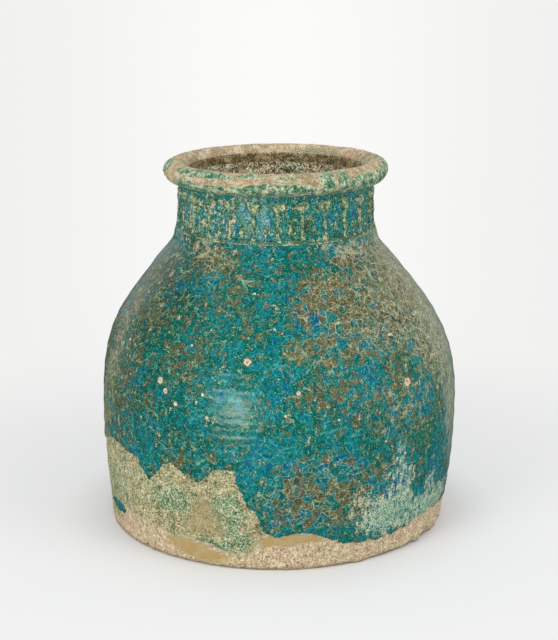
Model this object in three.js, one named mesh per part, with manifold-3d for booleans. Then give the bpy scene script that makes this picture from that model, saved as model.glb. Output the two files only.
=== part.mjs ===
// A squat cylindrical jar of stonepaste under a turquoise glaze, with a domed shoulder, a short
// neck ringed by a moulded arcade, and a rolled lip. It is put together as the potter put it
// together: a floor slab, a wall, a shoulder, a neck and a lip luted one on another, a moulded
// strip wrapped round the neck, and coats of glaze poured outside and in.
// Millimetres, +Z up, the table at z = 0 and the axis of the jar at the origin.

import * as THREE from "three";
import { mergeVertices } from "three/addons/utils/BufferGeometryUtils.js";
import Module from "manifold-3d";

// The glazed outline, from the foot to the top of the neck.
const footRadius = 110.6;
const footFlare = 0.8;
const footHandle = 26.6;
const bellyRadius = 115.2;
const bellyHeight = 83.7;
const bellyLowerHandle = 57.8;
const bellyUpperHandle = 44.6;
const shoulderRadius = 78.7;
const shoulderHeight = 168.5;
const shoulderSlope = 0.74;
const shoulderLowerHandle = 21.5;
const shoulderUpperHandle = 16;
const neckRadius = 62.9;
const neckHandle = 44.7;
const neckHeight = 29;

// The sections of clay and the planes on which they are luted.
const wallThickness = 7.6;
const neckWall = 3.9;
const boreRun = 3;
const floorThickness = 11;
const bodySeamHeight = 104;
const shoulderRise = 88;
const footArris = 1.6;
const footRingWidth = 17;
const footRecess = 2.4;
const footRecessSlope = 2.5;
const cornerCoilSize = 13;
const lutingGap = 0.3;

// The rolled lip: a half round that overhangs the neck.
const lipHeight = 14;
const lipRadius = 71.2;
const lipWidestDrop = 6.5;
const lipUnderside = 6.7;
const lipInnerDrop = 8.4;

// The moulded strip: a sill, a row of colonnettes with spreading heads, and a bud in each bay.
const bayCount = 26;
const firstBay = 1.4;
const stripThickness = 1.6;
const reliefDepth = 1.7;
const sillHeight = 2.2;
const crownHeight = 3.4;
const stemWidth = 2.6;
const stemFootWidth = 4;
const stemFootHeight = 2.4;
const headWidth = 9.4;
const headHeight = 6.4;
const headLip = 1.6;
const headCurl = 2.1;
const budWidth = 3.6;
const budHeight = 8.4;
const budRise = 1.4;
const budRelief = 1.1;

// The coats of glaze.
const coatThickness = 1;
const coatGap = 0.3;
const neckCoatThickness = 0.7;
const innerCoatThickness = 0.8;
const innerCoatDrop = 6;
const coatFoot = 4;
const dripLine = 15;

// Where the coat has come away from the lower wall, and the tongues left hanging there. Angles
// are in degrees round the jar, from the front and positive to the viewer's right.
const losses = [
  { from: -112, to: -13.5, rise: 48, ramp: 10 },
  { from: -4, to: 12, rise: 9, ramp: 6 },
  { from: 52, to: 66, rise: 4, ramp: 10 },
  { from: 118, to: 168, rise: 17, ramp: 14 },
  { from: -168, to: -138, rise: 9, ramp: 12 },
];
const tongues = [
  { at: -45, half: 7, drop: 15 },
  { at: -26, half: 8, drop: 11 },
  { at: -76, half: 9, drop: 6 },
  { at: -96, half: 8, drop: 10 },
  { at: 145, half: 11, drop: 8 },
];

// The jar slumped a little as it dried, so its neck and foot stand left of its belly.
const neckLean = -2.1;
const footLean = -1.2;

// How finely the forms are cut.
const claySides = 44;
const edgeSides = 96;
const footSteps = 3;
const domeSteps = 5;
const sweepSteps = 4;
const lipSteps = 3;
const coilSteps = 3;
const sameVertex = 1e-4;

// How far a cutter passes through the face that it cuts.
const cutReach = 1;

const wasm = await Module();
wasm.setup();

const neckFoot = bodySeamHeight + shoulderRise;
const lipSeat = neckFoot + neckHeight;
const height = lipSeat + lipHeight;

function point(radius, z) {
  return new THREE.Vector2(radius, z);
}

// The side view of the glazed jar: foot, belly, shoulder and neck as three smooth curves.
function glazedOutline() {
  const foot = new THREE.CubicBezierCurve(
    point(footRadius, 0),
    point(footRadius + footFlare, footHandle),
    point(bellyRadius, bellyHeight - bellyLowerHandle),
    point(bellyRadius, bellyHeight),
  );
  const dome = new THREE.CubicBezierCurve(
    point(bellyRadius, bellyHeight),
    point(bellyRadius, bellyHeight + bellyUpperHandle),
    point(shoulderRadius + shoulderSlope * shoulderLowerHandle, shoulderHeight - shoulderLowerHandle),
    point(shoulderRadius, shoulderHeight),
  );
  const sweep = new THREE.CubicBezierCurve(
    point(shoulderRadius, shoulderHeight),
    point(shoulderRadius - shoulderSlope * shoulderUpperHandle, shoulderHeight + shoulderUpperHandle),
    point(neckRadius, lipSeat - neckHandle),
    point(neckRadius, lipSeat),
  );
  return [
    ...foot.getPoints(footSteps),
    ...dome.getPoints(domeSteps).slice(1),
    ...sweep.getPoints(sweepSteps).slice(1),
  ];
}

// An outline moved square to itself. A positive distance moves it to the left of its direction,
// which is inwards for an outline that climbs the jar.
function offsetOutline(outline, distance) {
  return outline.map((here, i) => {
    const before = outline[Math.max(i - 1, 0)];
    const after = outline[Math.min(i + 1, outline.length - 1)];
    const along = after.clone().sub(before).normalize();
    return point(here.x - along.y * distance, here.y + along.x * distance);
  });
}

function radiusAt(outline, z) {
  const next = outline.findIndex((p) => p.y >= z);
  if (next === 0) return outline[0].x;
  if (next < 0) return outline[outline.length - 1].x;
  const [low, high] = [outline[next - 1], outline[next]];
  return THREE.MathUtils.mapLinear(z, low.y, high.y, low.x, high.x);
}

// The stretch of an outline between two heights, with an end exactly on each.
function stretch(outline, from, to) {
  const clearance = 0.5;
  const between = outline.filter((p) => p.y > from + clearance && p.y < to - clearance);
  return [point(radiusAt(outline, from), from), ...between, point(radiusAt(outline, to), to)];
}

const stripRadius = neckRadius - reliefDepth;
const collarRadius = stripRadius - stripThickness - lutingGap;
const neckBore = collarRadius - neckWall;

// The inside of the clay: a wall's thickness in from the outline, run out into the neck's bore.
function hollowOutline() {
  const coarse = glazed.filter((p, i) => i % 2 === 0);
  const wall = offsetOutline(coarse, coatThickness + coatGap + wallThickness);
  const run = wall.filter((p) => p.y < neckFoot - boreRun);
  return [...run, point(neckBore, neckFoot), point(neckBore, lipSeat)];
}

const glazed = glazedOutline();
const clay = offsetOutline(glazed, coatThickness + coatGap);
const hollow = hollowOutline();

function lean(z) {
  if (z < bellyHeight) return footLean * (1 - z / bellyHeight) ** 2;
  return neckLean * THREE.MathUtils.smoothstep(z, bellyHeight, neckFoot);
}

// Turns a profile given as radius and height about the jar's axis. It is given anticlockwise,
// and starts and ends on the axis or is closed here on itself.
function turn(profile, sides) {
  const onAxis = profile[0].x === 0;
  const closed = onAxis ? profile : [...profile, profile[0]];
  return new THREE.LatheGeometry(closed, sides).rotateX(Math.PI / 2);
}

// A ring of clay between two outlines and two luting planes.
function section(outer, inner, from, to) {
  return turn([...stretch(outer, from, to), ...stretch(inner, from, to).reverse()], claySides);
}

function baseSlab() {
  const recessRadius = footRadius - footRingWidth;
  const wall = stretch(clay, 0, floorThickness);
  return turn(
    [
      point(0, footRecess),
      point(recessRadius - footRecessSlope, footRecess),
      point(recessRadius, 0),
      point(wall[0].x - footArris, 0),
      point(radiusAt(clay, footArris), footArris),
      ...wall.slice(1),
      point(0, floorThickness),
    ],
    claySides,
  );
}

// The hollow face of the coil pressed into the corner between the floor and the wall: a quarter
// round that leans as the wall leans.
function coilFace() {
  const size = cornerCoilSize;
  const arc = new THREE.EllipseCurve(-size, size, size, size, -Math.PI / 2, 0);
  return arc.getPoints(coilSteps).map((p) => {
    const z = floorThickness + p.y;
    return point(radiusAt(hollow, z) - lutingGap + p.x, z);
  });
}

function cornerCoil() {
  const back = stretch(hollow, floorThickness, floorThickness + cornerCoilSize);
  const seat = back.map((p) => point(p.x - lutingGap, p.y));
  return turn([...seat, ...coilFace().reverse().slice(1)], claySides);
}

// The lip's section, from the outside of its seat over the top to the bore of the neck.
function lipFace() {
  const ridgeRadius = neckRadius + lutingGap;
  const overhang = lipRadius - ridgeRadius;
  const widest = height - lipWidestDrop;
  const lower = new THREE.EllipseCurve(
    ridgeRadius, widest, overhang, lipUnderside, -Math.PI / 2, 0,
  );
  const upper = new THREE.EllipseCurve(
    ridgeRadius, widest, overhang, lipWidestDrop, 0, Math.PI / 2,
  );
  const inner = new THREE.EllipseCurve(
    ridgeRadius, height - lipInnerDrop, ridgeRadius - neckBore, lipInnerDrop, Math.PI / 2, Math.PI,
  );
  return [
    ...lower.getPoints(lipSteps),
    ...upper.getPoints(lipSteps).slice(1),
    ...inner.getPoints(lipSteps).slice(1),
  ];
}

function rolledLip() {
  const face = lipFace();
  return turn([point(neckBore, lipSeat), point(face[0].x, lipSeat), ...face], claySides);
}

function neckCollar() {
  const bore = [point(neckBore, lipSeat), point(neckBore, neckFoot)];
  return turn([point(collarRadius, neckFoot), point(collarRadius, lipSeat), ...bore], claySides);
}

function solidOf(geometry) {
  const bare = geometry.clone();
  bare.deleteAttribute("normal");
  bare.deleteAttribute("uv");
  const merged = mergeVertices(bare, sameVertex);
  return new wasm.Manifold(
    new wasm.Mesh({
      numProp: 3,
      vertProperties: new Float32Array(merged.attributes.position.array),
      triVerts: new Uint32Array(merged.index.array),
    }),
  );
}

function geometryOf(solid) {
  const mesh = solid.getMesh();
  const positions = new Float32Array(mesh.numVert * 3);
  for (let i = 0; i < mesh.numVert; i++) {
    positions.set(mesh.vertProperties.subarray(i * mesh.numProp, i * mesh.numProp + 3), i * 3);
  }
  const geometry = new THREE.BufferGeometry();
  geometry.setAttribute("position", new THREE.BufferAttribute(positions, 3));
  geometry.setIndex(new THREE.BufferAttribute(new Uint32Array(mesh.triVerts), 1));
  return geometry;
}

// A colonnette seen from the front: a flared foot, a slim stem, and a head that spreads like a
// mushroom so that neighbours leave a round arch between them. Grown by a clearance all round.
function colonnetteShape(clearance) {
  const top = lipSeat - neckFoot - crownHeight;
  const headFoot = top - headHeight;
  const foot = stemFootWidth / 2 + clearance;
  const stem = stemWidth / 2 + clearance;
  const head = headWidth / 2 + clearance;
  const shape = new THREE.Shape();
  shape.moveTo(-foot, sillHeight - clearance);
  shape.lineTo(foot, sillHeight - clearance);
  shape.lineTo(stem, sillHeight + stemFootHeight);
  shape.lineTo(stem, headFoot - clearance);
  shape.quadraticCurveTo(stem, top - headLip - headCurl, head, top - headLip - clearance);
  shape.quadraticCurveTo(head, top + clearance, 0, top + clearance);
  shape.quadraticCurveTo(-head, top + clearance, -head, top - headLip - clearance);
  shape.quadraticCurveTo(-stem, top - headLip - headCurl, -stem, headFoot - clearance);
  shape.lineTo(-stem, sillHeight + stemFootHeight);
  shape.closePath();
  return shape;
}

// The small leaf that stands on the sill between two colonnettes.
function budShape(clearance) {
  const half = budWidth / 2 + clearance;
  const low = sillHeight + budRise - clearance;
  const high = low + budHeight + 2 * clearance;
  const shape = new THREE.Shape();
  shape.moveTo(0, low);
  shape.quadraticCurveTo(half, low, half, (low + high) / 2);
  shape.lineTo(0, high);
  shape.lineTo(-half, (low + high) / 2);
  shape.quadraticCurveTo(-half, low, 0, low);
  return shape;
}

// Stands a flat shape on the neck, facing out at an angle from the front, between two radii.
function standOnNeck(shape, angle, from, to) {
  const curveSegments = 2;
  return new THREE.ExtrudeGeometry(shape, { depth: to - from, bevelEnabled: false, curveSegments })
    .translate(0, 0, from)
    .rotateX(Math.PI / 2)
    .rotateZ(THREE.MathUtils.degToRad(angle))
    .translate(0, 0, neckFoot);
}

// Every colonnette and bud round the neck, grown by a clearance, as a list of solids.
function reliefSolids(clearance, overReach) {
  const pitch = 360 / bayCount;
  const root = stripRadius - stripThickness / 2;
  const solids = [];
  for (let bay = 0; bay < bayCount; bay++) {
    const angle = firstBay + bay * pitch;
    const column = standOnNeck(colonnetteShape(clearance), angle, root, neckRadius + overReach);
    const budFace = stripRadius + budRelief + overReach;
    const bud = standOnNeck(budShape(clearance), angle + pitch / 2, root, budFace);
    solids.push(solidOf(column), solidOf(bud));
  }
  return solids;
}

function arcadeBand() {
  const ring = turn(
    [
      point(stripRadius - stripThickness, neckFoot),
      point(stripRadius + budRelief, neckFoot),
      point(stripRadius + budRelief, neckFoot + sillHeight / 2),
      point(stripRadius, neckFoot + sillHeight),
      point(stripRadius, lipSeat),
      point(stripRadius - stripThickness, lipSeat),
    ],
    claySides,
  );
  return geometryOf(reliefSolids(0, 0).reduce((whole, piece) => whole.add(piece), solidOf(ring)));
}

// The glaze that ran down the neck and pooled between the colonnettes.
function neckGlaze() {
  const inside = stripRadius + coatGap;
  const outside = inside + neckCoatThickness;
  const from = neckFoot + sillHeight + coatGap;
  const to = lipSeat - coatGap;
  const ring = turn(
    [point(inside, from), point(outside, from), point(outside, to), point(inside, to)],
    claySides,
  );
  const cutters = reliefSolids(coatGap, cutReach);
  return geometryOf(cutters.reduce((whole, piece) => whole.subtract(piece), solidOf(ring)));
}

// How high the lower edge of the outer coat stands at an angle from the front.
function coatEdge(angle) {
  let edge = dripLine;
  for (const { from, to, rise, ramp } of losses) {
    const up = THREE.MathUtils.smoothstep(angle, from - ramp, from);
    const down = THREE.MathUtils.smoothstep(angle, to, to + ramp);
    edge += rise * (up - down);
  }
  for (const { at, half, drop } of tongues) {
    const away = Math.abs(angle - at) / half;
    if (away < 1) edge -= (drop * (1 + Math.cos(Math.PI * away))) / 2;
  }
  return edge;
}

// What has come away below the outer coat: a drum with the ragged edge round its top.
function lostCoat() {
  const reach = bellyRadius + footRadius;
  const core = footRadius / 2;
  const depth = bellyHeight;
  const drum = turn(
    [point(0, -depth), point(reach, -depth), point(reach, depth), point(core, depth), point(0, depth)],
    edgeSides,
  );
  const position = drum.attributes.position;
  for (let i = 0; i < position.count; i++) {
    const [x, y] = [position.getX(i), position.getY(i)];
    if (position.getZ(i) < 0 || Math.hypot(x, y) < core / 2) continue;
    position.setZ(i, coatEdge(THREE.MathUtils.radToDeg(Math.atan2(x, -y))));
  }
  return solidOf(drum);
}

function bodyGlaze() {
  const face = stretch(glazed, coatFoot, neckFoot);
  const back = stretch(offsetOutline(glazed, coatThickness), coatFoot, neckFoot);
  const whole = solidOf(turn([...face, ...back.reverse()], claySides));
  return geometryOf(whole.subtract(lostCoat()));
}

// The inner coat lines the floor, the coil, the wall, the shoulder, the neck and the lip's foot.
function innerGlaze() {
  const lining = [
    point(0, floorThickness),
    ...coilFace(),
    ...stretch(hollow, floorThickness + cornerCoilSize, neckFoot).slice(1),
    point(neckBore, lipSeat),
    point(neckBore, height - lipInnerDrop - innerCoatDrop / 2),
  ];
  const near = offsetOutline(lining, coatGap);
  const far = offsetOutline(lining, coatGap + innerCoatThickness);
  near[0].x = 0;
  far[0].x = 0;
  return turn([...near, ...far.reverse()], claySides);
}

// Moves every vertex sideways by the lean of the jar at its height.
function settle(geometry) {
  const position = geometry.attributes.position;
  for (let i = 0; i < position.count; i++) {
    position.setX(i, position.getX(i) + lean(position.getZ(i)));
  }
  geometry.computeVertexNormals();
  return geometry;
}

const paste = new THREE.MeshStandardMaterial({ color: 0xc3ae8e, roughness: 0.92, metalness: 0 });
const mouldedPaste = new THREE.MeshStandardMaterial({ color: 0xa9a077, roughness: 0.85, metalness: 0 });
const turquoise = new THREE.MeshStandardMaterial({ color: 0x0d7778, roughness: 0.3, metalness: 0 });
const pooledBlue = new THREE.MeshStandardMaterial({ color: 0x0b6a86, roughness: 0.25, metalness: 0 });
const innerGreen = new THREE.MeshStandardMaterial({ color: 0x5c614a, roughness: 0.6, metalness: 0 });

const jar = new THREE.Group();
function place(name, geometry, material) {
  const mesh = new THREE.Mesh(settle(geometry), material);
  mesh.name = name;
  jar.add(mesh);
}

place("base_slab", baseSlab(), paste);
place("corner_coil", cornerCoil(), paste);
place("lower_wall", section(clay, hollow, floorThickness, bodySeamHeight), paste);
place("shoulder_dome", section(clay, hollow, bodySeamHeight, neckFoot), paste);
place("neck_collar", neckCollar(), paste);
place("arcade_band", arcadeBand(), mouldedPaste);
place("rolled_lip", rolledLip(), paste);
place("body_glaze", bodyGlaze(), turquoise);
place("neck_glaze", neckGlaze(), pooledBlue);
place("inner_glaze", innerGlaze(), innerGreen);

export default jar;
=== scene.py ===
import math
import bmesh
import bpy
import numpy as np
from mathutils import Matrix, Vector


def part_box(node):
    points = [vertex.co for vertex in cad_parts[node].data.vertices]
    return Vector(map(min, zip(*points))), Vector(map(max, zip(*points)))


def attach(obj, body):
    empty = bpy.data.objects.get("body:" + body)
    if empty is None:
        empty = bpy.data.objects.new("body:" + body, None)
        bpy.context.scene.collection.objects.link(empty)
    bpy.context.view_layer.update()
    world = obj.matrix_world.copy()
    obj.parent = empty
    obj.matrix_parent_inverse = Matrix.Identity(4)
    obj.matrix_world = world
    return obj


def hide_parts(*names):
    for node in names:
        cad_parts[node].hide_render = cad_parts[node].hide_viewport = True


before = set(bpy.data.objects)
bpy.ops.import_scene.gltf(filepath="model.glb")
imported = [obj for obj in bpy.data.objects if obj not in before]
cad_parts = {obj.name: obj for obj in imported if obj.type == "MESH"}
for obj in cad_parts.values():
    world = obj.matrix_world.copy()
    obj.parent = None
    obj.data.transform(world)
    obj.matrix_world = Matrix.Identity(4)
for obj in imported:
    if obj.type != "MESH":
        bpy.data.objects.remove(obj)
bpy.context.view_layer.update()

mm = 0.001  # sizes below are millimetres; angles are degrees from the front, positive to the viewer's right

# The glazed outline: foot, belly, shoulder and neck as three curves.
outline = {
    "footRadius": 110.6, "footFlare": 0.8, "footHandle": 26.6,
    "bellyRadius": 115.2, "bellyHeight": 83.7, "bellyLowerHandle": 57.8, "bellyUpperHandle": 44.6,
    "shoulderRadius": 78.7, "shoulderHeight": 168.5, "shoulderSlope": 0.74,
    "shoulderLowerHandle": 21.5, "shoulderUpperHandle": 16,
    "neckRadius": 62.9, "neckHandle": 44.7, "neckBore": 55.4,
    "wallDepth": 8.9, "neckLean": -2.1, "footLean": -1.2,
}


def nodeTop(node):
    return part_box(node)[1].z / mm


floorTop = nodeTop("base_slab")
bodySeam = nodeTop("lower_wall")
neckFoot = nodeTop("shoulder_dome")
lipSeat = nodeTop("neck_collar")
height = nodeTop("rolled_lip")


def bezier(a, b, c, d, count=90):
    t = np.linspace(0, 1, count)[:, None]
    a, b, c, d = (np.array(p, float) for p in (a, b, c, d))
    return (1 - t) ** 3 * a + 3 * (1 - t) ** 2 * t * b + 3 * (1 - t) * t ** 2 * c + t ** 3 * d


def glazedOutline():
    o = outline
    foot, belly = (o["footRadius"], 0), (o["bellyRadius"], o["bellyHeight"])
    shoulder = (o["shoulderRadius"], o["shoulderHeight"])
    lower, upper = o["shoulderLowerHandle"], o["shoulderUpperHandle"]
    slope = o["shoulderSlope"]
    return np.vstack([
        bezier(foot, (foot[0] + o["footFlare"], o["footHandle"]),
               (belly[0], belly[1] - o["bellyLowerHandle"]), belly),
        bezier(belly, (belly[0], belly[1] + o["bellyUpperHandle"]),
               (shoulder[0] + slope * lower, shoulder[1] - lower), shoulder)[1:],
        bezier(shoulder, (shoulder[0] - slope * upper, shoulder[1] + upper),
               (o["neckRadius"], lipSeat - o["neckHandle"]), (o["neckRadius"], lipSeat))[1:],
    ])


glazedLine = glazedOutline()


def hollowOutline():
    along = np.gradient(glazedLine, axis=0)
    along /= np.linalg.norm(along, axis=1)[:, None]
    inwards = np.column_stack([-along[:, 1], along[:, 0]])
    line = glazedLine + inwards * outline["wallDepth"]
    run = line[line[:, 1] < neckFoot - 6]
    return np.vstack([run, [(outline["neckBore"], neckFoot), (outline["neckBore"], lipSeat)]])


hollowLine = hollowOutline()


def glazedRadius(z):
    return np.interp(z, glazedLine[:, 1], glazedLine[:, 0])


def hollowRadius(z):
    return np.interp(z, hollowLine[:, 1], hollowLine[:, 0])


def ease(value, low, high):
    t = np.clip((value - low) / (high - low), 0, 1)
    return t * t * (3 - 2 * t)


def lean(z):
    foot = outline["footLean"] * np.clip(1 - z / outline["bellyHeight"], 0, 1) ** 2
    return foot + outline["neckLean"] * ease(z, outline["bellyHeight"], neckFoot)


lattice = np.random.default_rng(11).normal(size=(256, 3))
shuffle = np.random.default_rng(12).permutation(256)


def grain(place, size, shift):
    # smooth noise between about -1 and 1, with lumps of a size in millimetres; the shift picks another noise
    point = place / size + shift * np.array([1.0, 0.7, -1.3])
    cell = np.floor(point).astype(int)
    within = point - cell
    blend = within ** 3 * (within * (within * 6 - 15) + 10)
    total = np.zeros(len(point))
    for corner in np.ndindex(2, 2, 2):
        at = (cell + corner) % 256
        pick = shuffle[(shuffle[(shuffle[at[:, 0]] + at[:, 1]) % 256] + at[:, 2]) % 256]
        share = np.where(corner, blend, 1 - blend).prod(axis=1)
        total += share * (lattice[pick] * (within - corner)).sum(axis=1)
    return total


def grains(place, rows):
    # noises added up, each given as its depth, size and shift
    return sum(depth * grain(place, size, shift) for depth, size, shift in rows)


dabFade = 0.45, 1.45  # where a dab begins and ends to fade, as a share of its half width and height


def dabs(angle, z, strokes):
    # soft ellipses brushed on the jar: angle, height, half width, half height, strength
    painted = np.zeros_like(z)
    for at, high, wide, tall, strength in strokes:
        aside = (angle - at + 180) % 360 - 180
        away = np.hypot(aside / wide, (z - high) / tall)
        painted = np.maximum(painted, strength * (1 - ease(away, *dabFade)))
    return painted


# Throwing rings and lumps, shared by the clay and the coat on it.
handWork = {
    "ringDepth": 0.16, "ringPitch": 11.0, "wander": [(2.5, 70, 3)], "lumps": [(0.55, 46, 11), (0.16, 13, 23)],
}


def uneven(place, z):
    h = handWork
    rings = h["ringDepth"] * np.sin(2 * math.pi * z / h["ringPitch"] + grains(place, h["wander"]))
    return rings * ease(z, 4, 30) + grains(place, h["lumps"]) * ease(z, -10, 30)


# Vertices nearer than the weld are joined, and edges sharper than the crease are shaded sharp.
making = {"weld": 0.02, "crease": 38}


def spun(name, profile, steps, closed):
    # turns a line of (radius, height) points by an eighth, then doubles it three times into a full turn
    bm = bmesh.new()
    ring = [bm.verts.new((0, -radius * mm, z * mm)) for radius, z in profile]
    after = ring[1:] + ring[:1] if closed else ring[1:]
    edges = [bm.edges.new(pair) for pair in zip(ring, after)]
    turn = math.pi / 4
    bmesh.ops.spin(bm, geom=ring + edges, cent=(0, 0, 0), axis=(0, 0, 1), dvec=(0, 0, 0),
                   angle=turn, steps=steps // 8, use_merge=False, use_duplicate=False)
    for doubling in range(3):
        copy = bmesh.ops.duplicate(bm, geom=bm.verts[:] + bm.edges[:] + bm.faces[:])["geom"]
        verts = [part for part in copy if isinstance(part, bmesh.types.BMVert)]
        bmesh.ops.rotate(bm, cent=(0, 0, 0), matrix=Matrix.Rotation(turn, 3, "Z"), verts=verts)
        turn *= 2
    bmesh.ops.remove_doubles(bm, verts=bm.verts, dist=making["weld"] * mm)
    bmesh.ops.recalc_face_normals(bm, faces=bm.faces)
    return placed(name, bm)


def linked(name, data):
    made = bpy.data.objects.new(name, data)
    bpy.context.scene.collection.objects.link(made)
    return made


def placed(name, bm):
    mesh = bpy.data.meshes.new(name)
    bm.to_mesh(mesh)
    bm.free()
    return linked(name, mesh)


def moulded(piece, rule):
    # moves every vertex by a rule on its angle, radius, height and place, and keeps what the rule paints
    mesh = piece.data
    flat = np.empty(len(mesh.vertices) * 3)
    mesh.vertices.foreach_get("co", flat)
    place = flat.reshape(-1, 3) / mm
    angle = np.degrees(np.arctan2(place[:, 0], -place[:, 1]))
    radius, z, layers = rule(angle, np.hypot(place[:, 0], place[:, 1]), place[:, 2], place)
    turn = np.radians(angle)
    moved = np.column_stack([radius * np.sin(turn) + lean(z), -radius * np.cos(turn), z]) * mm
    mesh.vertices.foreach_set("co", moved.ravel())
    for name, values in layers.items():
        layer = mesh.attributes.new(name, "FLOAT", "POINT")
        layer.data.foreach_set("value", values.astype(np.float32))
    mesh.update()


def finished(piece, tear):
    # takes away the faces whose corners all lie below a limit of a painted layer, and smooths the rest
    bm = bmesh.new()
    bm.from_mesh(piece.data)
    if tear:
        layer, limit = bm.verts.layers.float[tear[0]], tear[1]
        lost = [face for face in bm.faces if all(vert[layer] < limit for vert in face.verts)]
        bmesh.ops.delete(bm, geom=lost, context="FACES")
    for face in bm.faces:
        face.smooth = True
    for edge in bm.edges:
        edge.smooth = edge.calc_face_angle(0) < math.radians(making["crease"])
    bm.to_mesh(piece.data)
    bm.free()


def makePiece(name, line, steps, rule, material, slotName, *nodes, closed=True, tear=None, skin=None):
    # turns a line into a piece and moulds it by a rule; a coat is also torn at its edge and thickened
    piece = spun(name, line, steps, closed)
    moulded(piece, rule)
    finished(piece, tear)
    if skin:
        coating = piece.modifiers.new("skin", "SOLIDIFY")
        coating.thickness, coating.offset = skin * mm, -1
    piece.data.materials.append(material)
    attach(piece, "root")
    if nodes:
        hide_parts(*nodes)
    print("made", piece.name, len(piece.data.polygons), "faces")


def asTurned(angle, radius, z, place):
    return radius, z, {}


def maths(operation):
    # a method that puts a value, and whatever it is given, through a Math node
    return lambda *values: values[0].graph.node("Math", {"operation": operation}, dict(enumerate(values)))


# Shader maths: a socket that is added, multiplied and compared as a number is.
class Value:
    __add__, __sub__, __mul__, __truediv__ = map(maths, ("ADD", "SUBTRACT", "MULTIPLY", "DIVIDE"))
    __gt__, least, most = map(maths, ("GREATER_THAN", "MINIMUM", "MAXIMUM"))
    sine, unsigned = map(maths, ("SINE", "ABSOLUTE"))

    def __init__(self, graph, socket):
        self.graph, self.socket = graph, socket

    def __rsub__(self, other):
        return self.graph.node("Math", {"operation": "SUBTRACT"}, {0: other, 1: self})

    def fade(self, low, high):
        inputs = {"Value": self, "From Min": low, "From Max": high}
        return self.graph.node("MapRange", {"interpolation_type": "SMOOTHSTEP"}, inputs)

    def output(self, name):
        return Value(self.graph, self.socket.node.outputs[name])


class Graph:
    def __init__(self, owner):
        owner.use_nodes = True
        self.owner, self.tree = owner, owner.node_tree
        self.tree.nodes.clear()

    def node(self, kind, settings=None, inputs=None):
        made = self.tree.nodes.new("ShaderNode" + kind)
        for key, value in (settings or {}).items():
            setattr(made, key, value)
        for key, value in (inputs or {}).items():
            if isinstance(value, Value):
                self.tree.links.new(value.socket, made.inputs[key])
            else:
                made.inputs[key].default_value = value
        shown = [socket for socket in made.outputs if socket.enabled]
        return Value(self, shown[0]) if shown else None

    def mix(self, factor, first, second, blending="MIX"):
        settings = {"data_type": "RGBA", "blend_type": blending}
        made = self.node("Mix", settings, {0: factor, 6: paint(first), 7: paint(second)})
        return Value(self, made.socket.node.outputs[2])

    def shaded(self, colour, shade):
        # makes a colour darker or lighter by a number, where 1 leaves it as it is
        return self.mix(1.0, colour, shade, "MULTIPLY")

    def lay(self, factor, colour):
        self.colour = self.mix(factor, self.colour, colour)

    def shade(self, shade):
        self.colour = self.shaded(self.colour, shade)

    def ramp(self, factor, name):
        made = self.node("ValToRGB", None, {"Fac": factor})
        stops = made.socket.node.color_ramp.elements
        for i, (spot, colour) in enumerate(ramps[name]):
            stop = stops[i] if i < len(stops) else stops.new(spot)
            stop.position, stop.color = spot, paint(colour)
        return made.output("Color")

    def painted(self, *layers):
        return [self.node("Attribute", {"attribute_name": layer}).output("Fac") for layer in layers]

    def along(self, axis):
        return self.node("SeparateXYZ", None, {"Vector": self.place}).output(axis)

    def away(self, middle):
        inputs = {0: self.place, 1: middle}
        return self.node("VectorMath", {"operation": "DISTANCE"}, inputs).output("Value")

    def noise(self, size, detail=2.0, rough=0.5, place=None):
        inputs = {"Vector": place or self.place, "Scale": 1 / size, "Detail": detail, "Roughness": rough}
        return self.node("TexNoise", None, inputs)

    def noises(self, look):
        return [self.noise(*row) for row in look["noises"]]

    def stretched(self, across, up, turn=0.0):
        # the place on the jar, turned and squeezed so that noise on it runs in streaks that long
        inputs = {"Vector": self.place, "Rotation": (turn * 0.7, turn, 0), "Scale": (across, across, up)}
        return self.node("Mapping", {"vector_type": "TEXTURE"}, inputs)

    def streaks(self, across, up, turn=0.0, detail=2.0, rough=0.5):
        return self.noise(1.0, detail, rough, self.stretched(across, up, turn))

    def cells(self, size, place, feature="F1"):
        inputs = {"Vector": place, "Scale": 1 / size, "Randomness": 1.0}
        return self.node("TexVoronoi", {"feature": feature}, inputs)

    def parts(self, colour):
        made = self.node("SeparateColor", None, {"Color": colour})
        return made.output("Red"), made.output("Green"), made.output("Blue")

    def finish(self, roughness, bump, look):
        height = {"Height": bump, "Distance": look["bumpDepth"] * mm, "Strength": 1.0}
        inputs = {"Base Color": self.colour, "Roughness": roughness, "Specular IOR Level": look["shine"],
                  "Normal": self.node("Bump", None, height)}
        return self.surfaced(self.node("BsdfPrincipled", None, inputs))

    def surfaced(self, shader, kind="OutputMaterial"):
        self.node(kind, None, {"Surface": shader})
        return self.owner


def paintGraph(name):
    g = Graph(bpy.data.materials.new(name))
    where = g.node("TexCoord").output("Object")
    g.place = g.node("VectorMath", {"operation": "SCALE"}, {0: where, "Scale": 1 / mm})
    return g


def paint(colour):
    # a colour by its name in tints, or as red, green and blue up to 255; anything else stays as it is
    colour = tints[colour] if isinstance(colour, str) else colour
    if not isinstance(colour, tuple) or len(colour) == 4:
        return colour
    share = [value / 255 for value in colour]
    return tuple(s / 12.92 if s < 0.04045 else ((s + 0.055) / 1.055) ** 2.4 for s in share) + (1.0,)


print("helpers ready")


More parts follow.
